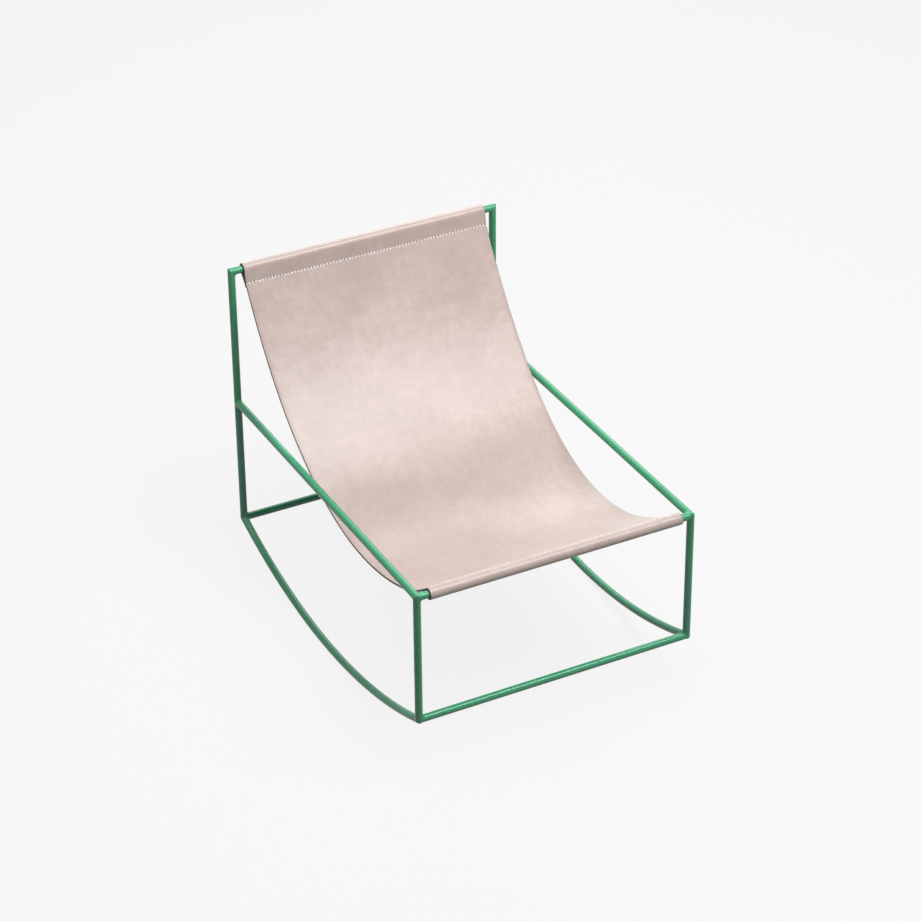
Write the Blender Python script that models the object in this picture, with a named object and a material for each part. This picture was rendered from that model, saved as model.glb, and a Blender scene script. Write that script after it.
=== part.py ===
"""Rocking chair: a welded frame of round steel tube with a leather sling.

Each side panel has a rear upright, a front upright, an arm brace and a rocker bent to a circular
arc. Four cross rails join the two panels. One hide hangs between the top rail and the front seat
rail. It is wrapped round each rail and sewn back to itself, so that each rail lies in a sleeve.

The frame is drawn with its uprights vertical: X runs across the chair, Y runs from the front
uprights at 0 to the rear uprights, and Z is 0 at the ends of the rockers. An empty then leans the
whole chair back to the angle at which it balances on its rockers and sets it down on the floor,
with the origin at the middle of its footprint.
"""

import math
from itertools import combinations

import bmesh
import bpy
from mathutils import Matrix, Vector

# Frame, in metres, measured between the axes of the tubes
FRAME_WIDTH = 0.620
FRAME_DEPTH = 0.846
REAR_UPRIGHT_HEIGHT = 0.610
FRONT_UPRIGHT_HEIGHT = 0.293
ROCKER_RADIUS = 1.132
TUBE_DIAMETER = 0.016
TUBE_WALL = 0.0015
WELD_LEG = 0.006
BRACE_WELD_LEG = 0.009  # between an arm brace and the front seat rail
WELD_FADE = 0.25  # share of the leg that is left at a fillet's ends

# Leather sling
LEATHER_THICKNESS = 0.0043
SLING_SIDE_GAP = 0.0165  # from the sling's edge to the upright beside it
SLING_WAIST = 0.0135  # drawn in at each edge where the sling is narrowest
SLING_WAIST_PLACE = 0.225  # where that is, as a share of the hide's length from the front
SLING_WAIST_POWER = 4  # how quickly the sling widens again away from there
SEAT_DIP = 0.103  # from the front seat rail's axis down to the lowest part of the seat
FRONT_LIFT = 0.0135  # how far over that axis the seat would pass if it ran on straight
SEAM_REACH = 0.030  # from a rail's axis to the seam that closes its sleeve
HEM_ALLOWANCE = 0.010  # leather beyond the seam

# Stitching of the two seams
STITCH_PITCH = 0.0075
STITCH_LENGTH = 0.0058
STITCH_WIDTH = 0.0024
STITCH_HEIGHT = 0.0009
STITCH_SLANT = math.radians(25)
STITCH_SETBACK = 0.0025  # from the bend at the seam to the row of stitches
STITCH_MARGIN = 0.004  # from the sling's edge to the first stitch

# Clearance between neighbouring pieces
CLEARANCE = 0.0003

# How finely round shapes are divided
TUBE_SIDES = 16
ROCKER_FACETS = 20
SLEEVE_STEPS = 14
SEAT_STEPS = 36
WELD_STEPS = 9
SHARP_ANGLE = math.radians(40)

# How a hanging line's shape is sought, with its scale as a multiple of its span
HALVINGS = 80
SLACKEST_SCALE = 0.01
TIGHTEST_SCALE = 100

# Where a weld fillet ends, as an angle round the joint from its inner corner
WELD_END = math.radians(70)
WELD_END_BY_THIRD_TUBE = math.radians(25)

# Two tubes that run on straight through a corner have no inner corner, and a third tube stands in
# the way of a fillet where it leaves the corner within this angle of the fillet's end
STRAIGHT_ANGLE = math.radians(174)
THIRD_TUBE_ANGLE = math.radians(60)

# Densities in kilograms per cubic metre, for the angle at which the chair balances
STEEL_DENSITY = 7850
LEATHER_DENSITY = 900

# Colour, roughness and metallic value of each material
PAINT = ((0.043, 0.390, 0.186, 1.0), 0.15, 0.0)
LEATHER = ((0.630, 0.502, 0.461, 1.0), 0.35, 0.0)
THREAD = ((0.900, 0.870, 0.820, 1.0), 0.65, 0.0)

# Values that follow from the sizes above
TUBE_RADIUS = TUBE_DIAMETER / 2
BORE_RADIUS = TUBE_RADIUS - TUBE_WALL
CLEAR_RADIUS = TUBE_RADIUS + CLEARANCE
SLEEVE_RADIUS = CLEAR_RADIUS + LEATHER_THICKNESS / 2
LAYER_STEP = LEATHER_THICKNESS + CLEARANCE
SLING_HALF_WIDTH = FRAME_WIDTH / 2 - TUBE_RADIUS - SLING_SIDE_GAP
ROCKER_HALF_ANGLE = math.asin(FRAME_DEPTH / 2 / ROCKER_RADIUS)
ROCKER_CENTRE = Vector((FRAME_DEPTH / 2, ROCKER_RADIUS * math.cos(ROCKER_HALF_ANGLE)))
FRONT_RAIL = Vector((0.0, FRONT_UPRIGHT_HEIGHT))
TOP_RAIL = Vector((FRAME_DEPTH, REAR_UPRIGHT_HEIGHT))

UP = Vector((0, 0, 1))
DOWN = Vector((0, 0, -1))
RIGHT = Vector((1, 0, 0))
FORWARD = Vector((0, -1, 0))
BACKWARD = Vector((0, 1, 0))
SIDES = {"left": -1, "right": 1}


def clear_scene():
    for old in list(bpy.data.objects):
        bpy.data.objects.remove(old)


def make_material(name, finish):
    colour, roughness, metallic = finish
    material = bpy.data.materials.new(name)
    material.use_nodes = True
    shader = material.node_tree.nodes["Principled BSDF"]
    shader.inputs["Base Color"].default_value = colour
    shader.inputs["Roughness"].default_value = roughness
    shader.inputs["Metallic"].default_value = metallic
    return material


def make_object(name, shape, finish, parent):
    """Closes a bmesh into a named object with its own material, on the chair's empty."""
    bmesh.ops.recalc_face_normals(shape, faces=shape.faces)
    mesh = bpy.data.meshes.new(name)
    shape.to_mesh(mesh)
    shape.free()
    mesh.shade_smooth()
    mesh.set_sharp_from_angle(angle=SHARP_ANGLE)
    mesh.materials.append(make_material(name, finish))
    piece = bpy.data.objects.new(name, mesh)
    bpy.context.collection.objects.link(piece)
    piece.parent = parent
    return piece


def turned(vector, angle):
    """A side view vector turned anticlockwise."""
    return Matrix.Rotation(angle, 2) @ vector


def in_panel(point, x):
    """A side view point (Y, Z) placed at X."""
    return Vector((x, point[0], point[1]))


def skin(shape, loop, other):
    """Quads between two closed loops of as many corners."""
    count = len(loop)
    for k in range(count):
        following = (k + 1) % count
        shape.faces.new((loop[k], loop[following], other[following], other[k]))


# Sling, as a path in the side view


def last_place(holds, near, far):
    """The last place between near and far at which a condition still holds."""
    for _ in range(HALVINGS):
        middle = (near + far) / 2
        if holds(middle):
            near = middle
        else:
            far = middle
    return near


def catenary(low, high, dip):
    """A hanging line between two points, dip below the lower one: its scale and its lowest point."""
    rise = high.y - low.y + dip
    span = high.x - low.x

    def too_short(scale):
        return scale * (math.acosh(1 + dip / scale) + math.acosh(1 + rise / scale)) < span

    scale = last_place(too_short, span * SLACKEST_SCALE, span * TIGHTEST_SCALE)
    return scale, Vector((low.x + scale * math.acosh(1 + dip / scale), low.y - dip))


def seat_line():
    """The middle of the leather between its two seams, from the front to the top."""
    front_hold = FRONT_RAIL + Vector((0.0, FRONT_LIFT))
    scale, lowest = catenary(front_hold, TOP_RAIL, SEAT_DIP + FRONT_LIFT)

    def at(y):
        return Vector((y, lowest.y + scale * (math.cosh((y - lowest.x) / scale) - 1)))

    def seam(rail):
        """How far back the hanging line reaches the seam's distance from a rail."""
        return last_place(lambda y: (at(y) - rail).length < SEAM_REACH, rail.x, lowest.x)

    front, top = seam(FRONT_RAIL), seam(TOP_RAIL)
    return [at(front + (top - front) * k / SEAT_STEPS) for k in range(SEAT_STEPS + 1)]


def sleeve(seam, beyond, rail, side):
    """The leather from a seam round its rail and back along the seat to the hem's end.

    beyond is the seat's next point after the seam. side is 1 where the outer face of the seat lies
    anticlockwise of the way to the rail, or -1.
    """
    seat_way = (beyond - seam).normalized()
    way = rail - seam
    tangent = turned(way.normalized(), side * math.asin(SLEEVE_RADIUS / way.length))
    start = turned(tangent, side * math.pi / 2)
    hem = seam + turned(seat_way, side * math.pi / 2) * LAYER_STEP
    hem_way = rail - hem
    hem_tangent = turned(hem_way.normalized(), -side * math.asin(SLEEVE_RADIUS / hem_way.length))
    end = turned(hem_tangent, -side * math.pi / 2)
    sweep = (side * start.angle_signed(end)) % (2 * math.pi)
    around = [
        rail + turned(start, -side * sweep * k / SLEEVE_STEPS) * SLEEVE_RADIUS
        for k in range(SLEEVE_STEPS + 1)
    ]
    return around + [hem, hem + seat_way * HEM_ALLOWANCE]


def sling_path():
    """The middle of the whole hide, from the hem under the front rail to the hem behind the top."""
    seat = seat_line()
    front = sleeve(seat[0], seat[1], FRONT_RAIL, -1)
    top = sleeve(seat[-1], seat[-2], TOP_RAIL, 1)
    return front[::-1] + seat + top


def offset_line(path, distance):
    """A line beside a path, on its left, with mitred corners."""
    line = []
    for k, point in enumerate(path):
        before = (point - path[k - 1]).normalized() if k else None
        after = (path[k + 1] - point).normalized() if k + 1 < len(path) else None
        before = before or after
        after = after or before
        normal = turned((before + after).normalized(), math.pi / 2)
        line.append(point + normal * (distance / normal.dot(turned(before, math.pi / 2))))
    return line


# Balance


def centre_of_mass(path):
    """The chair's mass centre in the side view, from its tubes and its leather."""
    tube_weight = STEEL_DENSITY * math.pi * (TUBE_RADIUS**2 - BORE_RADIUS**2)
    leather_weight = LEATHER_DENSITY * LEATHER_THICKNESS * 2 * SLING_HALF_WIDTH
    corners = {
        "rear bottom": Vector((FRAME_DEPTH, 0.0)),
        "rear brace": Vector((FRAME_DEPTH, FRONT_UPRIGHT_HEIGHT)),
        "front bottom": Vector((0.0, 0.0)),
    }
    rocker_drop = ROCKER_RADIUS * math.sin(ROCKER_HALF_ANGLE) / ROCKER_HALF_ANGLE
    runs = [
        (2 * REAR_UPRIGHT_HEIGHT, (corners["rear bottom"] + TOP_RAIL) / 2),
        (2 * FRONT_UPRIGHT_HEIGHT, (corners["front bottom"] + FRONT_RAIL) / 2),
        (2 * FRAME_DEPTH, (corners["rear brace"] + FRONT_RAIL) / 2),
        (4 * ROCKER_RADIUS * ROCKER_HALF_ANGLE, ROCKER_CENTRE - Vector((0.0, rocker_drop))),
        (FRAME_WIDTH, TOP_RAIL),
        (FRAME_WIDTH, FRONT_RAIL),
        (FRAME_WIDTH, corners["rear bottom"]),
        (FRAME_WIDTH, corners["front bottom"]),
    ]
    weighed = [(length * tube_weight, middle) for length, middle in runs]
    for point, following in zip(path, path[1:]):
        weighed.append(((following - point).length * leather_weight, (point + following) / 2))
    total = sum(weight for weight, _ in weighed)
    return sum((middle * weight for weight, middle in weighed), Vector((0.0, 0.0))) / total


def balance_angle(path):
    """How far the chair leans back when its mass centre hangs below the rockers' centre."""
    hang = centre_of_mass(path) - ROCKER_CENTRE
    return math.atan2(hang.x, -hang.y)


# Tubes


def mitre(own, other):
    """End of a tube at a corner, cut on the plane that halves the angle to its neighbour."""
    normal = (own - other).normalized()

    def start(offset):
        return (CLEARANCE / 2 - offset.dot(normal)) / own.dot(normal)

    return start


def cope(directions):
    """End of a tube cut to fit round the tubes that run from the corner in these directions."""

    def start(offset):
        along = max(directions, key=offset.dot)
        aside = offset - along * offset.dot(along)
        return math.sqrt(max(CLEAR_RADIUS**2 - aside.length_squared, 0)) + CLEARANCE / 2

    return start


def tube_rings(shape, path, radius, first, phase, start_cut, end_cut):
    """Rings of corners along a tube's path, one at each of its points."""
    rings = []
    for k, point in enumerate(path):
        before = (point - path[k - 1]).normalized() if k else (path[1] - point).normalized()
        after = (path[k + 1] - point).normalized() if k + 1 < len(path) else before
        across = (first - before * first.dot(before)).normalized()
        upright = before.cross(across)
        bend = (before + after).normalized()
        ring = []
        for n in range(TUBE_SIDES):
            angle = 2 * math.pi * (n + phase) / TUBE_SIDES
            offset = (across * math.cos(angle) + upright * math.sin(angle)) * radius
            if k == 0:
                along = start_cut(offset)
            elif k == len(path) - 1:
                along = -end_cut(offset)
            else:
                along = -offset.dot(bend) / before.dot(bend)
            ring.append(shape.verts.new(point + offset + before * along))
        rings.append(ring)
    return rings


def make_tube(name, path, first, start_cut, end_cut, parent, phase=0):
    """A round tube with its bore.

    first points from the axis to one of the tube's corners, or at phase 0.5 to one of its flats.
    """
    shape = bmesh.new()
    outer = tube_rings(shape, path, TUBE_RADIUS, first, phase, start_cut, end_cut)
    bore = tube_rings(shape, path, BORE_RADIUS, first, phase, start_cut, end_cut)
    for rings in (outer, bore):
        for ring, following in zip(rings, rings[1:]):
            skin(shape, ring, following)
    skin(shape, outer[0], bore[0])
    skin(shape, outer[-1], bore[-1])
    return make_object(name, shape, PAINT, parent)


def rocker_line(lean):
    """Points of a rocker from front to rear, with a flat stretch where it meets the floor."""
    step = 2 * ROCKER_HALF_ANGLE / ROCKER_FACETS
    angles = [lean + (k + 0.5) * step for k in range(-ROCKER_FACETS, ROCKER_FACETS)]
    limit = ROCKER_HALF_ANGLE - step / 3
    angles = [-ROCKER_HALF_ANGLE] + [a for a in angles if abs(a) < limit] + [ROCKER_HALF_ANGLE]
    spoke = Vector((0.0, -ROCKER_RADIUS))
    return [ROCKER_CENTRE + turned(spoke, angle) for angle in angles]


def make_frame(rocker, parent):
    """The tubes of both side panels and the four rails, and the weld fillets where they meet."""
    to_rear = in_panel((rocker[1] - rocker[0]).normalized(), 0)
    to_front = in_panel((rocker[-2] - rocker[-1]).normalized(), 0)
    for name, side in SIDES.items():
        x = side * FRAME_WIDTH / 2
        inward = RIGHT * -side
        rear_bottom = Vector((x, FRAME_DEPTH, 0))
        rear_top = in_panel(TOP_RAIL, x)
        front_bottom = Vector((x, 0, 0))
        front_top = in_panel(FRONT_RAIL, x)
        rear_brace = Vector((x, FRAME_DEPTH, FRONT_UPRIGHT_HEIGHT))
        make_tube(
            f"rear_upright_{name}",
            [rear_bottom, rear_top],
            RIGHT,
            mitre(UP, to_front),
            mitre(DOWN, inward),
            parent,
        )
        make_tube(
            f"front_upright_{name}",
            [front_bottom, front_top],
            RIGHT,
            mitre(UP, to_rear),
            mitre(DOWN, BACKWARD),
            parent,
        )
        make_tube(
            f"arm_brace_{name}",
            [front_top, rear_brace],
            RIGHT,
            mitre(BACKWARD, DOWN),
            cope([UP, DOWN]),
            parent,
        )
        make_tube(
            f"rocker_{name}",
            [in_panel(point, x) for point in rocker],
            RIGHT,
            mitre(to_rear, UP),
            mitre(to_front, UP),
            parent,
            phase=0.5,
        )
        joints = {
            "top": (rear_top, {"upright": DOWN, "rail": inward}),
            "arm": (rear_brace, {"brace": FORWARD, "upright_above": UP, "upright_below": DOWN}),
            "front_top": (front_top, {"upright": DOWN, "brace": BACKWARD, "rail": inward}),
            "front_bottom": (front_bottom, {"upright": UP, "rocker": to_rear, "rail": inward}),
            "rear_bottom": (rear_bottom, {"upright": UP, "rocker": to_front, "rail": inward}),
        }
        for joint, (corner, tubes) in joints.items():
            make_welds(f"weld_{joint}_{name}", corner, tubes, parent)
    corners = {
        "front_seat_rail": (FRONT_RAIL, [DOWN, BACKWARD]),
        "front_bottom_rail": (Vector((0.0, 0.0)), [UP, to_rear]),
        "rear_bottom_rail": (Vector((FRAME_DEPTH, 0.0)), [UP, to_front]),
    }
    for name, (point, panel) in corners.items():
        make_rail(name, point, panel[0] + panel[1], cope(panel), cope(panel), parent)
    make_rail("top_rail", TOP_RAIL, UP, mitre(RIGHT, DOWN), mitre(-RIGHT, DOWN), parent)


def make_rail(name, point, first, left_cut, right_cut, parent):
    """A cross tube between the two side panels, through a point of the side view."""
    ends = [in_panel(point, side * FRAME_WIDTH / 2) for side in SIDES.values()]
    make_tube(name, ends, first, left_cut, right_cut, parent)


# Welds


def make_fillet(name, corner, own, other, low, high, widest, parent):
    """A hollow fillet in the inner corner of two tubes, fading out to both sides."""
    side = own.cross(other).normalized()
    inner = (own + other).normalized()
    half_angle = own.angle(other) / 2
    hollow = 1 - math.sqrt(0.5)
    shape = bmesh.new()
    rings = []
    for k in range(WELD_STEPS + 1):
        share = k / WELD_STEPS
        angle = low + (high - low) * share
        leg = widest * (WELD_FADE + (1 - WELD_FADE) * math.sin(math.pi * share))
        root = corner + side * (CLEAR_RADIUS * math.sin(angle))
        root += inner * (CLEAR_RADIUS * math.cos(angle) / math.sin(half_angle))
        section = [root, root + own * leg, root + (own + other) * (leg * hollow), root + other * leg]
        rings.append([shape.verts.new(point) for point in section])
    for ring, following in zip(rings, rings[1:]):
        skin(shape, ring, following)
    for ring in (rings[0], rings[-1]):
        shape.faces.new((ring[0], ring[1], ring[2]))
        shape.faces.new((ring[0], ring[2], ring[3]))
    return make_object(name, shape, PAINT, parent)


def make_welds(name, corner, tubes, parent):
    """A fillet between each two of the tubes that leave a corner, short of any third tube."""
    for (own_name, own), (other_name, other) in combinations(tubes.items(), 2):
        if own.angle(other) > STRAIGHT_ANGLE:
            continue
        side = own.cross(other)
        low, high = -WELD_END, WELD_END
        for third in tubes.values():
            if third.angle(side) < THIRD_TUBE_ANGLE:
                high = WELD_END_BY_THIRD_TUBE
            if third.angle(-side) < THIRD_TUBE_ANGLE:
                low = -WELD_END_BY_THIRD_TUBE
        pair = f"{own_name}_{other_name}"
        widest = BRACE_WELD_LEG if pair == "brace_rail" else WELD_LEG
        make_fillet(f"{name}_{pair}", corner, own, other, low, high, widest, parent)


# Sling and its stitching


def make_sling(path, parent):
    """The hide: the path given its thickness and its width, which narrows towards its waist."""
    outer = offset_line(path, LEATHER_THICKNESS / 2)
    inner = offset_line(path, -LEATHER_THICKNESS / 2)
    run = [0.0]
    for point, following in zip(path, path[1:]):
        run.append(run[-1] + (following - point).length)
    waist = run[-1] * SLING_WAIST_PLACE
    shape = bmesh.new()
    rings = []
    for over, under, along in zip(outer, inner, run):
        share = along / waist if along < waist else (run[-1] - along) / (run[-1] - waist)
        half = SLING_HALF_WIDTH - SLING_WAIST * math.sin(math.pi / 2 * share) ** SLING_WAIST_POWER
        section = [(over, -half), (over, half), (under, half), (under, -half)]
        rings.append([shape.verts.new(in_panel(point, x)) for point, x in section])
    for ring, following in zip(rings, rings[1:]):
        skin(shape, ring, following)
    shape.faces.new(rings[0])
    shape.faces.new(rings[-1])
    return make_object("leather_sling", shape, LEATHER, parent)


def stitch_line():
    """A seam's thread on the face, as (X, up the hide): each stitch slants, then drops to the next."""
    rise = STITCH_LENGTH * math.sin(STITCH_SLANT) / 2
    run = STITCH_LENGTH * math.cos(STITCH_SLANT)
    span = 2 * (SLING_HALF_WIDTH - STITCH_MARGIN)
    count = int((span - run) / STITCH_PITCH) + 1
    line = []
    for k in range(count):
        start = (k - (count - 1) / 2) * STITCH_PITCH - run / 2
        line += [Vector((start, -rise)), Vector((start + run, rise))]
    return line


def make_stitching(name, seam, following, side, parent):
    """A row of slanted stitches on the seat's face, just inside the seam.

    side is 1 where the way from the seam into the seat runs up the hide, or -1.
    """
    way = (following - seam).normalized()
    face = turned(way, side * math.pi / 2)
    middle = in_panel(seam + way * STITCH_SETBACK, 0)
    up_hide = in_panel(way, 0) * side
    out = in_panel(face, 0)
    below = LEATHER_THICKNESS / 2 + CLEARANCE
    above = below + STITCH_HEIGHT
    line = stitch_line()
    near = offset_line(line, STITCH_WIDTH / 2)
    far = offset_line(line, -STITCH_WIDTH / 2)
    shape = bmesh.new()
    rings = []
    for left, right in zip(near, far):
        section = [(left, above), (right, above), (right, below), (left, below)]
        rings.append(
            [
                shape.verts.new(middle + RIGHT * point.x + up_hide * point.y + out * height)
                for point, height in section
            ]
        )
    for ring, after in zip(rings, rings[1:]):
        skin(shape, ring, after)
    shape.faces.new(rings[0])
    shape.faces.new(rings[-1])
    return make_object(name, shape, THREAD, parent)


# Assembly


def set_down(chair, lean):
    """Leans the chair back about its rockers and stands it on the floor, centred on the origin."""
    turn = Matrix.Rotation(-lean, 3, "X")
    corners = [turn @ v.co for piece in chair.children for v in piece.data.vertices]
    low = [min(corner[k] for corner in corners) for k in range(3)]
    high = [max(corner[k] for corner in corners) for k in range(3)]
    chair.rotation_euler = turn.to_euler()
    chair.location = (-(low[0] + high[0]) / 2, -(low[1] + high[1]) / 2, -low[2])


def main():
    clear_scene()
    chair = bpy.data.objects.new("chair", None)
    bpy.context.collection.objects.link(chair)
    path = sling_path()
    lean = balance_angle(path)
    make_frame(rocker_line(lean), chair)
    make_sling(path, chair)
    seat = seat_line()
    make_stitching("front_hem_stitching", seat[0], seat[1], 1, chair)
    make_stitching("top_hem_stitching", seat[-1], seat[-2], -1, chair)
    set_down(chair, lean)
    bpy.context.view_layer.update()


main()
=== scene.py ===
"""Rocking chair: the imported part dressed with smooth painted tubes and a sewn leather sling.

Every piece is drawn as in the part's source, with the uprights vertical and the front foot of the
side panel at the origin: X runs across the chair, Y from front to back and Z up. PANEL then puts
it into the frame, where the chair leans back on its rockers.
"""

import math
from itertools import combinations

import bmesh
import bpy
import numpy as np
from mathutils import Matrix, Quaternion, Vector, noise


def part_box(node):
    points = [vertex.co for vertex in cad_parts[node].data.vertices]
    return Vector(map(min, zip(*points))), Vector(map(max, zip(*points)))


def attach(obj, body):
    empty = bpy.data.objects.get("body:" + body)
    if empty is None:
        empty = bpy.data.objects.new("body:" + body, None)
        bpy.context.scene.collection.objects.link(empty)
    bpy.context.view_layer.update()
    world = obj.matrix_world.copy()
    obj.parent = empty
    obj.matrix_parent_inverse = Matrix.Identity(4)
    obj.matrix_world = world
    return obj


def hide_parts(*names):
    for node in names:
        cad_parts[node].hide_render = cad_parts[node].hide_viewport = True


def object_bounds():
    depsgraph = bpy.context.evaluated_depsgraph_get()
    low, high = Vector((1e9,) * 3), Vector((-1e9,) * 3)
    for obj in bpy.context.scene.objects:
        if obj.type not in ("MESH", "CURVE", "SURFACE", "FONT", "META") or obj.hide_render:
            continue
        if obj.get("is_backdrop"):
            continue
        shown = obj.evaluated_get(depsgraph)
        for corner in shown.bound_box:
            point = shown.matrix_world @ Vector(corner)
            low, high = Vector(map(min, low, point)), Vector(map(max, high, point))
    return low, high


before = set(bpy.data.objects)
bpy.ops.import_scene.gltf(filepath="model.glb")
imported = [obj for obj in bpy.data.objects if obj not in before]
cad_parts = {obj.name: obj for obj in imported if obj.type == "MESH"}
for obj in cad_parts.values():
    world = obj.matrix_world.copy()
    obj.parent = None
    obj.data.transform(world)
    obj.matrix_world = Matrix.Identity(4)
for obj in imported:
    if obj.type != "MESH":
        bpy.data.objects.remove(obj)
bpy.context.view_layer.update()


def rail_axis(node):
    """The point of the side view (Y, Z) that a cross rail's axis passes through."""
    low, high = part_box(node)
    return Vector(((low[1] + high[1]) / 2, (low[2] + high[2]) / 2))


# Side panel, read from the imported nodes
FRONT_FOOT = rail_axis("front_bottom_rail")
REAR_FOOT = rail_axis("rear_bottom_rail")
UPRIGHT_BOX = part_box("rear_upright_right")
FRAME_DEPTH = (REAR_FOOT - FRONT_FOOT).length
FRONT_RAIL = Vector((0.0, (rail_axis("front_seat_rail") - FRONT_FOOT).length))
TOP_RAIL = Vector((FRAME_DEPTH, (rail_axis("top_rail") - REAR_FOOT).length))
HALF_WIDTH = (UPRIGHT_BOX[0][0] + UPRIGHT_BOX[1][0]) / 2
TUBE_RADIUS = (UPRIGHT_BOX[1][0] - UPRIGHT_BOX[0][0]) / 2
SLING_HALF_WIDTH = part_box("leather_sling")[1][0]
LEAN = (REAR_FOOT - FRONT_FOOT).normalized()
PANEL = Matrix(
    (
        (1, 0, 0, 0),
        (0, LEAN.x, -LEAN.y, FRONT_FOOT.x),
        (0, LEAN.y, LEAN.x, FRONT_FOOT.y),
        (0, 0, 0, 1),
    )
)

# Sizes in metres that repeat the part's source
ROCKER_RADIUS = 1.132
WELD_LEG = 0.006
BRACE_WELD_LEG = 0.009
LEATHER_THICKNESS = 0.0043
SLEEVE_CLEARANCE = 0.0003
SLING_WAIST = 0.0135
SLING_WAIST_PLACE = 0.225
SLING_WAIST_POWER = 4
SEAT_DIP = 0.103
FRONT_LIFT = 0.0135
SEAM_REACH = 0.030
HEM_ALLOWANCE = 0.010
STITCH_PITCH = 0.0075
STITCH_LENGTH = 0.0058
STITCH_SLANT = math.radians(25)
STITCH_SETBACK = 0.0025
STITCH_MARGIN = 0.004

UP = Vector((0, 0, 1))
DOWN = Vector((0, 0, -1))
RIGHT = Vector((1, 0, 0))
FORWARD = Vector((0, -1, 0))
BACKWARD = Vector((0, 1, 0))
SIDES = {"left": -1, "right": 1}
SHARP_ANGLE = math.radians(50)

# Shader nodes


def add(tree, kind, inputs=None, **settings):
    """A shader node with its settings, and each input set to a value or joined to a socket."""
    node = tree.nodes.new("ShaderNode" + kind)
    for key, value in settings.items():
        setattr(node, key, value)
    for socket, value in (inputs or {}).items():
        if isinstance(value, bpy.types.NodeSocket):
            tree.links.new(value, node.inputs[socket])
        else:
            node.inputs[socket].default_value = value
    return node


def new_tree(name):
    """A material without nodes yet, and its tree."""
    material = bpy.data.materials.new(name)
    material.use_nodes = True
    material.node_tree.nodes.clear()
    return material, material.node_tree


def grain(tree, place, scale, detail=3.0, roughness=0.5):
    """A noise of so many grains a metre, from 0 to 1."""
    inputs = {"Vector": place, "Scale": scale, "Detail": detail, "Roughness": roughness}
    return add(tree, "TexNoise", inputs).outputs["Fac"]


def stretched(tree, place, scale):
    """Coordinates drawn out by a scale for each axis."""
    return add(tree, "Mapping", {"Vector": place, "Scale": scale}).outputs["Vector"]


def spread(tree, value, low, high, span=(0.25, 0.75)):
    """A noise brought from its usual span to a range of values."""
    inputs = {
        "Value": value,
        "From Min": span[0],
        "From Max": span[1],
        "To Min": low,
        "To Max": high,
    }
    return add(tree, "MapRange", inputs).outputs["Result"]


def mean(tree, parts):
    """The weighted mean of (socket, weight) pairs, whose weights add up to 1."""
    total = None
    for socket, weight in parts:
        part = add(tree, "Math", {0: socket, 1: weight}, operation="MULTIPLY").outputs[0]
        total = part if total is None else add(tree, "Math", {0: total, 1: part}).outputs[0]
    return total


def ramp(tree, value, stops):
    """Colours along a value, as (place, colour) pairs."""
    node = add(tree, "ValToRGB", {"Fac": value})
    marks = node.color_ramp.elements
    while len(marks) < len(stops):
        marks.new(0.5)
    for mark, (place, colour) in zip(marks, stops):
        mark.position = place
        mark.color = (*colour, 1.0)
    return node.outputs["Color"]


def bump(tree, height, distance, strength, onto=None):
    """A normal tilted by a height of so many metres, on the surface's own normal or another."""
    inputs = {"Height": height, "Distance": distance, "Strength": strength}
    if onto is not None:
        inputs["Normal"] = onto
    return add(tree, "Bump", inputs).outputs["Normal"]


def surface(tree, inputs):
    """A principled shader as the material's surface."""
    shader = add(tree, "BsdfPrincipled", inputs)
    add(tree, "OutputMaterial", {"Surface": shader.outputs["BSDF"]})


def paint_material():
    """Gloss green enamel on steel, with a faint orange peel and a tone that drifts a little."""
    material, tree = new_tree("green_enamel")
    place = add(tree, "TexCoord").outputs["Object"]
    drift = grain(tree, place, scale=9)
    specks = grain(tree, place, scale=160, detail=4)
    tone = mean(tree, [(drift, 0.6), (specks, 0.4)])
    stops = [(0.3, (0.036, 0.355, 0.165)), (0.7, (0.050, 0.425, 0.208))]
    haze = grain(tree, place, scale=60, detail=4)
    peel = grain(tree, place, scale=420, detail=2)
    inputs = {
        "Base Color": ramp(tree, tone, stops),
        "Roughness": spread(tree, haze, low=0.06, high=0.09),
        "Specular IOR Level": 0.42,
        "Normal": bump(tree, peel, distance=0.0002, strength=0.006),
    }
    surface(tree, inputs)
    return material


def hide_material():
    """Natural leather: cloudy tones, flecks and faint streaks, with a relief down to its pores."""
    material, tree = new_tree("natural_leather")
    place = add(tree, "Attribute", attribute_name="hide").outputs["Vector"]
    streaks = grain(tree, stretched(tree, place, (55, 2.5, 1)), scale=1, detail=4)
    clouds = grain(tree, place, scale=8, detail=4, roughness=0.55)
    mottle = grain(tree, place, scale=60, detail=5, roughness=0.6)
    flecks = grain(tree, place, scale=330, detail=3, roughness=0.6)
    tone = mean(tree, [(clouds, 0.42), (mottle, 0.33), (flecks, 0.15), (streaks, 0.1)])
    stops = [
        (0.36, (0.567, 0.454, 0.412)),
        (0.50, (0.630, 0.511, 0.467)),
        (0.64, (0.690, 0.567, 0.522)),
    ]
    cells = add(tree, "TexVoronoi", {"Vector": place, "Scale": 650.0}, feature="F1")
    pores = spread(tree, cells.outputs["Distance"], low=0.0, high=1.0, span=(0.05, 0.45))
    creases = grain(tree, stretched(tree, place, (14, 70, 1)), scale=1, detail=5, roughness=0.6)
    waves = grain(tree, place, scale=20, detail=3)
    wrinkles = grain(tree, place, scale=240, detail=5, roughness=0.6)
    relief = bump(tree, waves, distance=0.0040, strength=0.36)
    relief = bump(tree, creases, distance=0.0010, strength=0.08, onto=relief)
    relief = bump(tree, wrinkles, distance=0.0004, strength=0.16, onto=relief)
    relief = bump(tree, pores, distance=0.0003, strength=0.07, onto=relief)
    inputs = {
        "Base Color": ramp(tree, tone, stops),
        "Roughness": 0.30,
        "Diffuse Roughness": 0.6,
        "Specular IOR Level": 0.50,
        "Normal": relief,
    }
    surface(tree, inputs)
    return material


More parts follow.
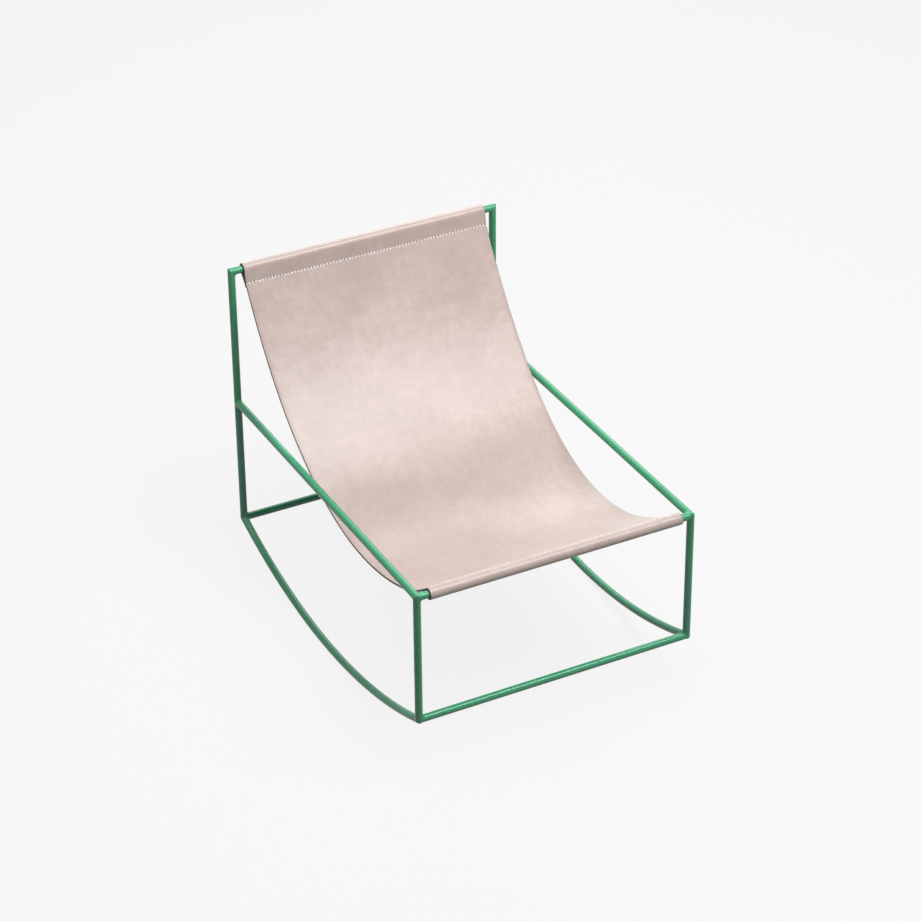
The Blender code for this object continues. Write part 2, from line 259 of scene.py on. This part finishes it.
def flesh_material():
    """The hide's other face: pale, matt and fibrous."""
    material, tree = new_tree("leather_flesh_side")
    place = add(tree, "Attribute", attribute_name="hide").outputs["Vector"]
    fibres = grain(tree, stretched(tree, place, (900, 300, 1)), scale=1, detail=6, roughness=0.7)
    clouds = grain(tree, place, scale=14, detail=5, roughness=0.6)
    tone = mean(tree, [(clouds, 0.6), (fibres, 0.4)])
    stops = [(0.3, (0.430, 0.318, 0.262)), (0.7, (0.590, 0.465, 0.398))]
    inputs = {
        "Base Color": ramp(tree, tone, stops),
        "Roughness": spread(tree, fibres, low=0.82, high=0.98),
        "Normal": bump(tree, fibres, distance=0.0006, strength=0.35),
    }
    surface(tree, inputs)
    return material


def edge_material():
    """The hide's cut edge, dyed dark and rubbed smooth."""
    material, tree = new_tree("leather_cut_edge")
    place = add(tree, "TexCoord").outputs["Object"]
    fibres = grain(tree, place, scale=700, detail=6, roughness=0.7)
    stops = [(0.3, (0.022, 0.010, 0.008)), (0.7, (0.060, 0.030, 0.022))]
    inputs = {
        "Base Color": ramp(tree, fibres, stops),
        "Roughness": spread(tree, fibres, low=0.42, high=0.62),
        "Normal": bump(tree, fibres, distance=0.0004, strength=0.3),
    }
    surface(tree, inputs)
    return material


def thread_material():
    """Waxed white thread with its twist, drawn darker in the twist's grooves as painted shade."""
    material, tree = new_tree("waxed_thread")
    place = add(tree, "Attribute", attribute_name="twist").outputs["Vector"]
    wave = {"Vector": place, "Scale": 1.0, "Distortion": 0.3, "Detail": 1.0}
    twist = add(tree, "TexWave", wave, bands_direction="DIAGONAL").outputs["Fac"]
    # darker stop where the twist sinks in: painted shade of the grooves
    stops = [(0.0, (0.80, 0.76, 0.71)), (0.5, (0.97, 0.96, 0.94))]
    inputs = {
        "Base Color": ramp(tree, twist, stops),
        "Roughness": spread(tree, twist, low=0.70, high=0.52, span=(0, 1)),
        "Normal": bump(tree, twist, distance=0.0002, strength=0.5),
    }
    surface(tree, inputs)
    return material


def hole_shade_material():
    """Painted shade in a needle hole: a dark colour that stands for the shadow inside it."""
    material, tree = new_tree("needle_hole_painted_shade")
    # near-black tones: painted shade of the hole, not the leather's own colour
    place = add(tree, "TexCoord").outputs["Object"]
    fibres = grain(tree, place, scale=900, detail=4)
    stops = [(0.3, (0.020, 0.011, 0.009)), (0.7, (0.060, 0.036, 0.030))]
    inputs = {
        "Base Color": ramp(tree, fibres, stops),
        "Roughness": spread(tree, fibres, low=0.75, high=0.95),
    }
    surface(tree, inputs)
    return material


# Pieces


def make_piece(name, points, faces, materials, nodes=(), kinds=None):
    """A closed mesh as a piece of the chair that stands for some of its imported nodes."""
    mesh = bpy.data.meshes.new(name)
    mesh.from_pydata([tuple(point) for point in points], [], faces)
    mesh.transform(PANEL)
    for material in materials:
        mesh.materials.append(material)
    if kinds is not None:
        mesh.polygons.foreach_set("material_index", kinds)
    shape = bmesh.new()
    shape.from_mesh(mesh)
    bmesh.ops.recalc_face_normals(shape, faces=shape.faces)
    shape.to_mesh(mesh)
    shape.free()
    mesh.shade_smooth()
    mesh.set_sharp_from_angle(angle=SHARP_ANGLE)
    piece = bpy.data.objects.new(name, mesh)
    bpy.context.collection.objects.link(piece)
    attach(piece, "root")
    if nodes:
        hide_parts(*nodes)
    return piece


def skin(count, rings):
    """Quads between rings of count corners, numbered in a row."""
    faces = []
    for ring in range(rings - 1):
        for k in range(count):
            here = ring * count
            after = (k + 1) % count
            faces.append((here + k, here + after, here + count + after, here + count + k))
    return faces


def closed_skin(count, rings, first=0):
    """The quads between rings and both end faces, with the corners numbered from first."""
    ends = [tuple(range(count)), tuple(range((rings - 1) * count, rings * count))]
    return [tuple(first + k for k in face) for face in skin(count, rings) + ends]


def turns(count):
    """The angles of so many even steps round a circle."""
    return [2 * math.pi * n / count for n in range(count)]


def store(mesh, name, values):
    """A vector for each vertex, for the material to read."""
    layer = mesh.attributes.new(name, "FLOAT_VECTOR", "POINT")
    layer.data.foreach_set("vector", np.asarray(values, dtype=np.float32).ravel())


def turned(vector, angle):
    """A side view vector turned anticlockwise."""
    return Matrix.Rotation(angle, 2) @ vector


def in_panel(point, x):
    """A side view point (Y, Z) placed at X."""
    return Vector((x, point[0], point[1]))


def eased(share):
    """A share held between 0 and 1, which starts and ends gently."""
    share = min(max(share, 0.0), 1.0)
    return share * share * (3 - 2 * share)


# Tubes

TUBE_SIDES = 48
ROCKER_STEPS = 72
SINK = 0.002  # how far a coped end reaches into its neighbour
# Rounding of a mitre's outer crease: how far from the cut, and how far in
CREASE = (
    (0.0, 0.0010),
    (0.0004, 0.0006),
    (0.0010, 0.00025),
    (0.0018, 0.00006),
    (0.0028, 0.0),
    (0.0060, 0.0),
)

# A tube's end is given as two functions of a point's offset from the axis: how far along the axis
# the tube starts there, and how much of the crease's rounding the point takes


def mitre(own, other):
    """A tube's end at a corner, cut on the plane that halves the angle to its neighbour."""
    normal = (own - other).normalized()

    def start(offset):
        return -offset.dot(normal) / own.dot(normal)

    def outside(offset):
        return max(0.0, -offset.normalized().dot(other))

    return start, outside


def cope(directions):
    """A tube's end that fits round the tubes which leave the corner in these directions."""

    def start(offset):
        along = max(directions, key=offset.dot)
        aside = offset - along * offset.dot(along)
        return math.sqrt(max(TUBE_RADIUS**2 - aside.length_squared, 0)) - SINK

    def outside(offset):
        return 0.0

    return start, outside


def make_tube(name, path, first, start_cut, end_cut, material):
    """A closed round tube along a path, with its ends cut to fit the corners.

    Each ring of its points starts on the side that the direction named first points to.
    """
    last = len(path) - 1
    stations = [(0, start_cut, depth, inset, 1) for depth, inset in CREASE]
    stations += [(k, None, 0.0, 0.0, 1) for k in range(1, last)]
    stations += [(last, end_cut, depth, inset, -1) for depth, inset in reversed(CREASE)]
    points = []
    for k, cut, depth, inset, sense in stations:
        along = (path[min(k + 1, last)] - path[max(k - 1, 0)]).normalized()
        across = (first - along * first.dot(along)).normalized()
        upright = along.cross(across)
        for angle in turns(TUBE_SIDES):
            offset = (across * math.cos(angle) + upright * math.sin(angle)) * TUBE_RADIUS
            shift = 0.0
            if cut:
                start, outside = cut
                offset *= 1 - inset * outside(offset) / TUBE_RADIUS
                shift = sense * (start(offset) + depth)
            points.append(path[k] + offset + along * shift)
    faces = closed_skin(TUBE_SIDES, len(stations))
    return make_piece(f"{name}_tube", points, faces, [material], [name])


# Welds

WELD_STEPS = 28
WELD_SECTION = 6
# How far a bead goes round its corner, alone or up to a third tube
WELD_END = math.radians(88)
WELD_END_BY_THIRD_TUBE = math.radians(58)
WELD_TIP = 0.02  # least squared share of its width that a bead keeps
WELD_SINK = 0.0001
WELD_DEPTH = 0.0015
STRAIGHT_ANGLE = math.radians(174)  # two tubes past this angle make one straight run
THIRD_TUBE_ANGLE = math.radians(60)


def make_fillet(node, corner, own, other, low, high, widest, material):
    """A weld bead that blends two tubes in their inner corner and thins out towards its ends."""
    side = own.cross(other).normalized()
    inner = (own + other).normalized()
    half_angle = own.angle(other) / 2
    radius = TUBE_RADIUS - WELD_SINK
    points = []
    for k in range(WELD_STEPS + 1):
        angle = low + (high - low) * k / WELD_STEPS
        leg = widest * math.sqrt(max(math.cos(angle), WELD_TIP))
        root = corner + side * (radius * math.sin(angle))
        root += inner * (radius * math.cos(angle) / math.sin(half_angle))
        for n in range(WELD_SECTION + 1):
            turn = math.pi / 2 * n / WELD_SECTION
            bend = own * (1 - math.sin(turn)) + other * (1 - math.cos(turn))
            points.append(root + bend * leg)
        points.append(root - inner * WELD_DEPTH)
    faces = closed_skin(WELD_SECTION + 2, WELD_STEPS + 1)
    return make_piece(f"{node}_bead", points, faces, [material], [node])


def make_welds(name, corner, tubes, material):
    """A fillet between each two of the tubes that leave a corner, into any third tube."""
    for (own_name, own), (other_name, other) in combinations(tubes.items(), 2):
        if own.angle(other) > STRAIGHT_ANGLE:
            continue
        side = own.cross(other)
        low, high = -WELD_END, WELD_END
        for third in tubes.values():
            if third.angle(side) < THIRD_TUBE_ANGLE:
                high = WELD_END_BY_THIRD_TUBE
            if third.angle(-side) < THIRD_TUBE_ANGLE:
                low = -WELD_END_BY_THIRD_TUBE
        pair = f"{own_name}_{other_name}"
        widest = BRACE_WELD_LEG if pair == "brace_rail" else WELD_LEG
        make_fillet(f"{name}_{pair}", corner, own, other, low, high, widest, material)


def rocker_line():
    """Points of a rocker's arc from front to rear."""
    half_angle = math.asin(FRAME_DEPTH / 2 / ROCKER_RADIUS)
    centre = Vector((FRAME_DEPTH / 2, ROCKER_RADIUS * math.cos(half_angle)))
    spoke = Vector((0.0, -ROCKER_RADIUS))
    angles = np.linspace(-half_angle, half_angle, ROCKER_STEPS + 1)
    return [centre + turned(spoke, angle) for angle in angles], half_angle


def make_frame(material):
    """The tubes of both side panels, the four rails and the welds between them."""
    rocker, half_angle = rocker_line()
    to_rear = Vector((0, math.cos(half_angle), -math.sin(half_angle)))
    to_front = Vector((0, -math.cos(half_angle), -math.sin(half_angle)))
    for name, side in SIDES.items():
        x = side * HALF_WIDTH
        inward = RIGHT * -side
        front_bottom = Vector((x, 0, 0))
        front_top = in_panel(FRONT_RAIL, x)
        rear_bottom = Vector((x, FRAME_DEPTH, 0))
        rear_brace = Vector((x, FRAME_DEPTH, FRONT_RAIL.y))
        rear_top = in_panel(TOP_RAIL, x)
        rocker_path = [in_panel(point, x) for point in rocker]
        panel = {
            "rear_upright": ([rear_bottom, rear_top], mitre(UP, to_front), mitre(DOWN, inward)),
            "front_upright": ([front_bottom, front_top], mitre(UP, to_rear), mitre(DOWN, BACKWARD)),
            "arm_brace": ([front_top, rear_brace], mitre(BACKWARD, DOWN), cope([UP, DOWN])),
            "rocker": (rocker_path, mitre(to_rear, UP), mitre(to_front, UP)),
        }
        for tube, (path, start_cut, end_cut) in panel.items():
            make_tube(f"{tube}_{name}", path, RIGHT, start_cut, end_cut, material)
        joints = {
            "top": (rear_top, {"upright": DOWN, "rail": inward}),
            "arm": (rear_brace, {"brace": FORWARD, "upright_above": UP, "upright_below": DOWN}),
            "front_top": (front_top, {"upright": DOWN, "brace": BACKWARD, "rail": inward}),
            "front_bottom": (front_bottom, {"upright": UP, "rocker": to_rear, "rail": inward}),
            "rear_bottom": (rear_bottom, {"upright": UP, "rocker": to_front, "rail": inward}),
        }
        for joint, (corner, tubes) in joints.items():
            make_welds(f"weld_{joint}_{name}", corner, tubes, material)
    front_foot, rear_foot = Vector((0.0, 0.0)), Vector((FRAME_DEPTH, 0.0))
    rails = {
        "front_seat_rail": (FRONT_RAIL, cope([DOWN, BACKWARD]), cope([DOWN, BACKWARD])),
        "front_bottom_rail": (front_foot, cope([UP, to_rear]), cope([UP, to_rear])),
        "rear_bottom_rail": (rear_foot, cope([UP, to_front]), cope([UP, to_front])),
        "top_rail": (TOP_RAIL, mitre(RIGHT, DOWN), mitre(-RIGHT, DOWN)),
    }
    for name, (point, left_cut, right_cut) in rails.items():
        ends = [in_panel(point, side * HALF_WIDTH) for side in SIDES.values()]
        make_tube(name, ends, UP, left_cut, right_cut, material)


# Sling

HALVINGS = 80
# The hanging line's scale is sought between these shares of its span
SLACKEST_SCALE = 0.01
TIGHTEST_SCALE = 100
SEAT_STEPS = 160
SLEEVE_STEPS = 48
SLEEVE_RADIUS = TUBE_RADIUS + SLEEVE_CLEARANCE + LEATHER_THICKNESS / 2
LAYER_STEP = LEATHER_THICKNESS + SLEEVE_CLEARANCE
DENSE_STEP = 0.0005
SOFTENING = 0.0016  # the spread over which the hide rounds off a bend
BELL_REACH = 4  # spreads to each side that the rounding takes in
# Longest step and widest turn between two rows of the hide's points
ROW_LENGTH = 0.0075
ROW_TURN = math.radians(7)
COLUMNS = 64
EDGE_POINTS = 4
EDGE_ROUND = 0.0008
EDGE_NICK = 0.0002
GRAIN_SIDE, CUT_EDGE, FLESH_SIDE = range(3)  # the order of the hide's materials
# Soft waves of the seat, by X and along the hide, which fade out towards the seams
RIPPLE = 0.0011
RIPPLE_SCALE = (6.0, 5.0)
RIPPLE_SEED = 3.7
RIPPLE_FADE = 0.07
# Slight curl of the seat's two edges, which droops more than it lifts
EDGE_CURL = 0.0016
CURL_REACH = 0.045
CURL_SCALE = 4.0
CURL_SEED = 8.1
CURL_DROOP = 0.5
SEAM_DENT = 0.0005  # how far the thread pulls the leather's face in
SEAM_DENT_REACH = 0.0016
DENT_ROWS = (-2, -1, -0.5, 0, 0.5, 1, 2)  # rows of points across a dent, in reaches


def last_place(holds, near, far):
    """The last place between near and far at which a condition still holds."""
    for _ in range(HALVINGS):
        middle = (near + far) / 2
        if holds(middle):
            near = middle
        else:
            far = middle
    return near


def catenary(low, high, dip):
    """A hanging line between two points, dip below the lower one: its scale and lowest point."""
    rise = high.y - low.y + dip
    span = high.x - low.x

    def too_short(scale):
        return scale * (math.acosh(1 + dip / scale) + math.acosh(1 + rise / scale)) < span

    scale = last_place(too_short, span * SLACKEST_SCALE, span * TIGHTEST_SCALE)
    return scale, Vector((low.x + scale * math.acosh(1 + dip / scale), low.y - dip))


def seat_line():
    """The middle of the leather between its two seams, from the front to the top."""
    front_hold = FRONT_RAIL + Vector((0.0, FRONT_LIFT))
    scale, lowest = catenary(front_hold, TOP_RAIL, SEAT_DIP + FRONT_LIFT)

    def at(y):
        return Vector((y, lowest.y + scale * (math.cosh((y - lowest.x) / scale) - 1)))

    def seam(rail):
        return last_place(lambda y: (at(y) - rail).length < SEAM_REACH, rail.x, lowest.x)

    front, top = seam(FRONT_RAIL), seam(TOP_RAIL)
    return [at(front + (top - front) * k / SEAT_STEPS) for k in range(SEAT_STEPS + 1)]


def sleeve(seam, beyond, rail, side):
    """The leather from a seam round its rail and back along the seat to the hem's end.

    beyond is the seat's next point after the seam. side is 1 where the outer face of the seat lies
    anticlockwise of the way to the rail, or -1.
    """
    seat_way = (beyond - seam).normalized()
    way = rail - seam
    tangent = turned(way.normalized(), side * math.asin(SLEEVE_RADIUS / way.length))
    start = turned(tangent, side * math.pi / 2)
    hem = seam + turned(seat_way, side * math.pi / 2) * LAYER_STEP
    hem_way = rail - hem
    hem_tangent = turned(hem_way.normalized(), -side * math.asin(SLEEVE_RADIUS / hem_way.length))
    end = turned(hem_tangent, -side * math.pi / 2)
    sweep = (side * start.angle_signed(end)) % (2 * math.pi)
    around = [
        rail + turned(start, -side * sweep * k / SLEEVE_STEPS) * SLEEVE_RADIUS
        for k in range(SLEEVE_STEPS + 1)
    ]
    return around + [hem, hem + seat_way * HEM_ALLOWANCE]


class HideLine:
    """The middle of the hide in the side view, read by the distance along it from the front hem."""

    def __init__(self):
        seat = seat_line()
        front = sleeve(seat[0], seat[1], FRONT_RAIL, -1)[::-1]
        top = sleeve(seat[-1], seat[-2], TOP_RAIL, 1)
        corners = np.array([tuple(point) for point in front + seat + top])
        steps = np.linalg.norm(np.diff(corners, axis=0), axis=1)
        run = np.concatenate(([0.0], np.cumsum(steps)))
        self.length = run[-1]
        self.front_hem, self.front_seam = run[1], run[len(front)]
        self.top_seam, self.top_hem = run[len(front) + len(seat) - 1], run[-2]
        self.waist = self.length * SLING_WAIST_PLACE
        self.run = np.arange(0, self.length, DENSE_STEP)
        line = np.stack([np.interp(self.run, run, corners[:, k]) for k in range(2)], axis=1)
        self.line = self.softened(line)
        way = np.gradient(self.line, axis=0)
        self.way = way / np.linalg.norm(way, axis=1)[:, None]
        self.stitched = {
            "front": (self.front_seam + STITCH_SETBACK, self.front_hem - STITCH_SETBACK),
            "top": (self.top_seam - STITCH_SETBACK, self.top_hem + STITCH_SETBACK),
        }
        self.stitch_rows = [row for rows in self.stitched.values() for row in rows]

    @staticmethod
    def softened(line):
        """The line with its bends rounded off, and its two ends kept in place."""
        reach = int(BELL_REACH * SOFTENING / DENSE_STEP)
        bell = np.exp(-0.5 * (np.arange(-reach, reach + 1) * DENSE_STEP / SOFTENING) ** 2)
        bell /= bell.sum()
        ends = (2 * line[0] - line[reach:0:-1], 2 * line[-1] - line[-2 : -reach - 2 : -1])
        padded = np.concatenate((ends[0], line, ends[1]))
        return np.stack([np.convolve(padded[:, k], bell, "valid") for k in range(2)], axis=1)

    def at(self, along):
        """(point, way, face) at a distance: the face points out of the leather's grain side."""
        point = Vector([np.interp(along, self.run, self.line[:, k]) for k in range(2)])
        way = Vector([np.interp(along, self.run, self.way[:, k]) for k in range(2)]).normalized()
        return point, way, turned(way, math.pi / 2)

    def rows(self):
        """Distances along the hide that follow its bends closely and its seat loosely."""
        kept = [0]
        heading = np.unwrap(np.arctan2(self.way[:, 1], self.way[:, 0]))
        for k in range(1, len(self.run) - 1):
            turn = abs(heading[k] - heading[kept[-1]])
            if turn > ROW_TURN or self.run[k] - self.run[kept[-1]] > ROW_LENGTH:
                kept.append(k)
        dents = [row + k * SEAM_DENT_REACH for row in self.stitch_rows for k in DENT_ROWS]
        return sorted([self.run[k] for k in kept] + [self.run[-1]] + dents)

    def dent(self, along):
        """How far the stitches draw the grain side in."""
        near = min(abs(along - row) for row in self.stitch_rows) / SEAM_DENT_REACH
        return SEAM_DENT * math.exp(-near * near)

    def on_face(self, x, along):
        """A point of the grain side by a seam, where the hide has no ripple."""
        point, _, face = self.at(along)
        return in_panel(point + face * (LEATHER_THICKNESS / 2 - self.dent(along)), x)

    def half_width(self, along):
        """Half the sling's width, which narrows towards its waist."""
        if along < self.waist:
            share = along / self.waist
        else:
            share = (self.length - along) / (self.length - self.waist)
        drawn = math.sin(math.pi / 2 * share) ** SLING_WAIST_POWER
        return SLING_HALF_WIDTH - SLING_WAIST * drawn

    def ripple(self, x, along):
        """How far the seat stands off its even curve, which fades out towards the seams."""
        inside = min(along - self.front_seam, self.top_seam - along)
        fade = eased(inside / RIPPLE_FADE)
        wave = noise.noise(Vector((x * RIPPLE_SCALE[0], along * RIPPLE_SCALE[1], RIPPLE_SEED)))
        edge = max(0.0, 1 - (self.half_width(along) - abs(x)) / CURL_REACH)
        curl = noise.noise(Vector((math.copysign(1.0, x), along * CURL_SCALE, CURL_SEED)))
        return fade * (RIPPLE * wave + EDGE_CURL * edge * edge * (curl - CURL_DROOP))


def hide_section(half):
    """A closed section of the hide: (X, height, kind), with the kind of face up to the next."""
    flat = half - EDGE_ROUND
    top = LEATHER_THICKNESS / 2
    columns = np.linspace(-flat, flat, COLUMNS)
    edge = [
        (half - EDGE_NICK, top - EDGE_NICK),
        (half, top - EDGE_ROUND),
        (half, EDGE_ROUND - top),
        (half - EDGE_NICK, EDGE_NICK - top),
    ]
    section = [(x, top, GRAIN_SIDE) for x in columns[:-1]] + [(flat, top, CUT_EDGE)]
    section += [(x, height, CUT_EDGE) for x, height in edge]
    section += [(x, -top, FLESH_SIDE) for x in columns[:0:-1]] + [(-flat, -top, CUT_EDGE)]
    section += [(-x, height, CUT_EDGE) for x, height in reversed(edge)]
    return section


def make_sling(line, materials):
    """The hide as one closed sheet, wrapped round both rails."""
    points, places = [], []
    rows = line.rows()
    for along in rows:
        point, _, face = line.at(along)
        for x, height, _ in hide_section(line.half_width(along)):
            off = height + line.ripple(x, along)
            if height > 0:
                off -= line.dent(along)
            points.append(in_panel(point + face * off, x))
            places.append((x, along, 0.0 if height > 0 else 1.0))
    section = hide_section(SLING_HALF_WIDTH)
    count = len(section)
    faces = skin(count, len(rows))
    kinds = [kind for _ in rows[1:] for _, _, kind in section]
    for first in (0, (len(rows) - 1) * count):
        right = first + COLUMNS - 1
        under = first + 2 * COLUMNS + EDGE_POINTS - 1
        for k in range(COLUMNS - 1):
            faces.append((first + k, first + k + 1, under - k - 1, under - k))
        faces.append(tuple(right + k for k in range(EDGE_POINTS + 2)))
        faces.append((first, *(under + k for k in range(EDGE_POINTS + 1))))
        kinds += [CUT_EDGE] * (COLUMNS + 1)
    nodes = ["leather_sling"]
    piece = make_piece("sling_hide", points, faces, materials, nodes, kinds)
    store(piece.data, "hide", places)
    return piece


# Stitching

STITCH_STEPS = 8
STITCH_SIDES = 8
THREAD_RADIUS = 0.00145
STITCH_RISE = 0.0005  # the thread's axis over the leather at a stitch's middle
STITCH_DIVE = 0.0017  # and how far it has gone down at its ends
STITCH_BEND_POWER = 6  # how late it goes down
TWIST_PITCH = 0.0013
# Needle holes, drawn as dark lenses of painted shade that stand on the leather
HOLE_SIDES = 12
HOLE_LENGTH = 0.0018
HOLE_WIDTH = 0.0014
HOLE_BEYOND = 0.0004  # how far a hole's middle lies past the stitch's end
HOLE_FAR = 0.4  # size of the hole at a stitch's other end
HOLE_STANDING = 0.00012  # height of a hole's rim over the leather
HOLE_BULGE = 0.00024  # height of its middle
STITCH_JITTER = 0.00018
JITTER_SCALE = (90, 10)
JITTER_SEED = 0.5


def stitch_places():
    """The middle X of each stitch in a row."""
    run = STITCH_LENGTH * math.cos(STITCH_SLANT)
    count = int((2 * (SLING_HALF_WIDTH - STITCH_MARGIN) - run) / STITCH_PITCH) + 1
    return [(k - (count - 1) / 2) * STITCH_PITCH for k in range(count)]


def stitch_row(along):
    """The middle of each stitch in a row on the grain side: X and distance along the hide."""
    row = []
    for x in stitch_places():
        shift = noise.noise(Vector((x * JITTER_SCALE[0], along * JITTER_SCALE[1], JITTER_SEED)))
        row.append((x, along + STITCH_JITTER * shift))
    return row


def stitch_axes(line, along):
    """The directions along a stitch, across it and out of the leather."""
    _, way, face = line.at(along)
    face = in_panel(face, 0)
    ahead = RIGHT * math.cos(STITCH_SLANT) + in_panel(way, 0) * math.sin(STITCH_SLANT)
    return ahead, face.cross(ahead), face


def make_stitches(name, line, row, nodes, material):
    """Single slanted stitches that rise out of the leather and go down into it again."""
    points, places, faces = [], [], []
    for x, along in row:
        ahead, across, face = stitch_axes(line, along)
        middle = line.on_face(x, along)
        first = len(points)
        for k in range(STITCH_STEPS + 1):
            share = 2 * k / STITCH_STEPS - 1
            axis = middle + ahead * (share * STITCH_LENGTH / 2)
            axis += face * (STITCH_RISE - STITCH_DIVE * share**STITCH_BEND_POWER)
            for n, angle in enumerate(turns(STITCH_SIDES)):
                offset = (across * math.cos(angle) + face * math.sin(angle)) * THREAD_RADIUS
                points.append(axis + offset)
                places.append((share * STITCH_LENGTH / 2 / TWIST_PITCH, n / STITCH_SIDES, 0.0))
        faces += closed_skin(STITCH_SIDES, STITCH_STEPS + 1, first)
    piece = make_piece(name, points, faces, [material], nodes)
    store(piece.data, "twist", places)
    return piece


def make_hole_shades(name, line, row, material):
    """Needle holes at both ends of each stitch, as flat dark lenses on the leather: painted shade
    of the holes.
    """
    points, faces = [], []
    slope, rise = math.cos(STITCH_SLANT), math.sin(STITCH_SLANT)
    for x, along in row:
        face = stitch_axes(line, along)[2]
        for end, size in ((-1, HOLE_FAR), (1, 1.0)):
            reach = end * (STITCH_LENGTH / 2 + HOLE_BEYOND)
            first = len(points)
            centre = line.on_face(x + reach * slope, along + reach * rise)
            points += [centre + face * HOLE_BULGE, centre - face * HOLE_BULGE]
            for angle in turns(HOLE_SIDES):
                ahead = reach + size * HOLE_LENGTH * math.cos(angle)
                aside = size * HOLE_WIDTH * math.sin(angle)
                place = (x + ahead * slope - aside * rise, along + ahead * rise + aside * slope)
                points.append(line.on_face(*place) + face * HOLE_STANDING)
            for n in range(HOLE_SIDES):
                here, after = first + 2 + n, first + 2 + (n + 1) % HOLE_SIDES
                faces.append((first, here, after))
                faces.append((first + 1, after, here))
    return make_piece(name, points, faces, [material])


# Light, floor and camera

PALE = 0.935  # tone of the floor and the background, as seen
FLOOR_GLOW = 0.92  # share of the floor's seen tone that shadows leave alone
FLOOR_BOUNCE = 0.20  # tone of the floor for the light it throws back
WORLD_FILL = 0.03  # level at which the background lights the chair
FLOOR_HALF = 40.0
CAMERA_AIM = Vector((0.0141, 0.0094, 0.3633))
CAMERA_AZIMUTH = math.radians(-28.168)
CAMERA_ELEVATION = math.radians(33.887)
CAMERA_ROLL = math.radians(0.908)
CAMERA_DISTANCE = 6.380
CAMERA_LENS = 119.30
LAMP_AIM = Vector((0.0, 0.0, 0.35))
# Place, width and height in metres, and power in watts
LAMPS = {
    "key_softbox": ((1.25, -1.45, 4.30), 2.6, 2.6, 170.0),
    "overhead_softbox": ((-0.90, 0.10, 4.30), 3.2, 3.2, 70.0),
    "rear_softbox": ((1.40, 2.40, 2.00), 1.8, 1.8, 22.0),
    "side_softbox": ((-2.70, 1.30, 1.35), 1.0, 1.0, 4.0),
}


def seen_rays(tree):
    """1 for rays that show a surface, to the camera or in a gloss, and 0 for rays of light."""
    path = add(tree, "LightPath").outputs
    gloss = {0: path["Is Glossy Ray"], 1: path["Is Transmission Ray"]}
    shown = add(tree, "Math", gloss, operation="MAXIMUM").outputs[0]
    both = {0: path["Is Camera Ray"], 1: shown}
    return add(tree, "Math", both, operation="MAXIMUM").outputs[0]


def mixed(tree, factor, first, second):
    """The first shader where the factor is 0, and the second where it is 1."""
    node = add(tree, "MixShader", {0: factor})
    tree.links.new(first, node.inputs[1])
    tree.links.new(second, node.inputs[2])
    return node.outputs[0]


def grey(level):
    """An opaque colour of one level."""
    return (level, level, level, 1.0)


def make_floor(level):
    """A wide pale floor that keeps a soft shadow."""
    mesh = bpy.data.meshes.new("floor")
    signs = [(-1, -1), (1, -1), (1, 1), (-1, 1)]
    corners = [(x * FLOOR_HALF, y * FLOOR_HALF, level) for x, y in signs]
    mesh.from_pydata(corners, [], [(0, 1, 2, 3)])
    floor = bpy.data.objects.new("floor", mesh)
    bpy.context.collection.objects.link(floor)
    material, tree = new_tree("pale_floor")
    glow = add(tree, "Emission", {"Color": grey(PALE)}).outputs[0]
    pale = add(tree, "BsdfDiffuse", {"Color": grey(PALE)}).outputs[0]
    dim = add(tree, "BsdfDiffuse", {"Color": grey(FLOOR_BOUNCE)}).outputs[0]
    shown = mixed(tree, FLOOR_GLOW, pale, glow)
    add(tree, "OutputMaterial", {"Surface": mixed(tree, seen_rays(tree), dim, shown)})
    mesh.materials.append(material)
    floor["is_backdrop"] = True


def make_world():
    """A pale background, which lights the chair only a little."""
    world = bpy.data.worlds.new("studio")
    world.use_nodes = True
    tree = world.node_tree
    tree.nodes.clear()
    fill = add(tree, "Background", {"Color": grey(WORLD_FILL)}).outputs[0]
    pale = add(tree, "Background", {"Color": grey(PALE)}).outputs[0]
    add(tree, "OutputWorld", {"Surface": mixed(tree, seen_rays(tree), fill, pale)})
    bpy.context.scene.world = world


def make_lamps():
    """Soft lamps that the camera does not see, turned to the chair."""
    for name, (place, width, height, power) in LAMPS.items():
        light = bpy.data.lights.new(name, "AREA")
        light.shape = "RECTANGLE"
        light.size = width
        light.size_y = height
        light.energy = power
        lamp = bpy.data.objects.new(name, light)
        lamp.location = place
        lamp.rotation_mode = "QUATERNION"
        lamp.rotation_quaternion = (LAMP_AIM - lamp.location).to_track_quat("-Z", "Y")
        lamp.visible_camera = False
        bpy.context.collection.objects.link(lamp)


def make_camera():
    """The photograph's point of view."""
    level = math.cos(CAMERA_ELEVATION)
    back = Vector(
        (
            math.sin(CAMERA_AZIMUTH) * level,
            -math.cos(CAMERA_AZIMUTH) * level,
            math.sin(CAMERA_ELEVATION),
        )
    )
    data = bpy.data.cameras.new("camera")
    data.lens = CAMERA_LENS
    camera = bpy.data.objects.new("camera", data)
    camera.location = CAMERA_AIM + back * CAMERA_DISTANCE
    camera.rotation_mode = "QUATERNION"
    aim = (-back).to_track_quat("-Z", "Y")
    camera.rotation_quaternion = aim @ Quaternion(UP, CAMERA_ROLL)
    bpy.context.collection.objects.link(camera)
    bpy.context.scene.camera = camera


# Assembly

make_frame(paint_material())
hide_line = HideLine()
hide = make_sling(hide_line, [hide_material(), edge_material(), flesh_material()])
# The needle holes get a dark material: painted shade of the holes
thread, hole = thread_material(), hole_shade_material()
for seam_name, (face_row, hem_row) in hide_line.stitched.items():
    sewn = stitch_row(face_row) + stitch_row(hem_row)
    node_name = f"{seam_name}_hem_stitching"
    make_stitches(f"{seam_name}_seam_stitches", hide_line, sewn, [node_name], thread)
    make_hole_shades(f"{seam_name}_seam_hole_shades", hide_line, sewn, hole)

make_floor(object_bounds()[0].z)
make_world()
make_lamps()
make_camera()
bpy.context.scene.view_settings.view_transform = "Standard"
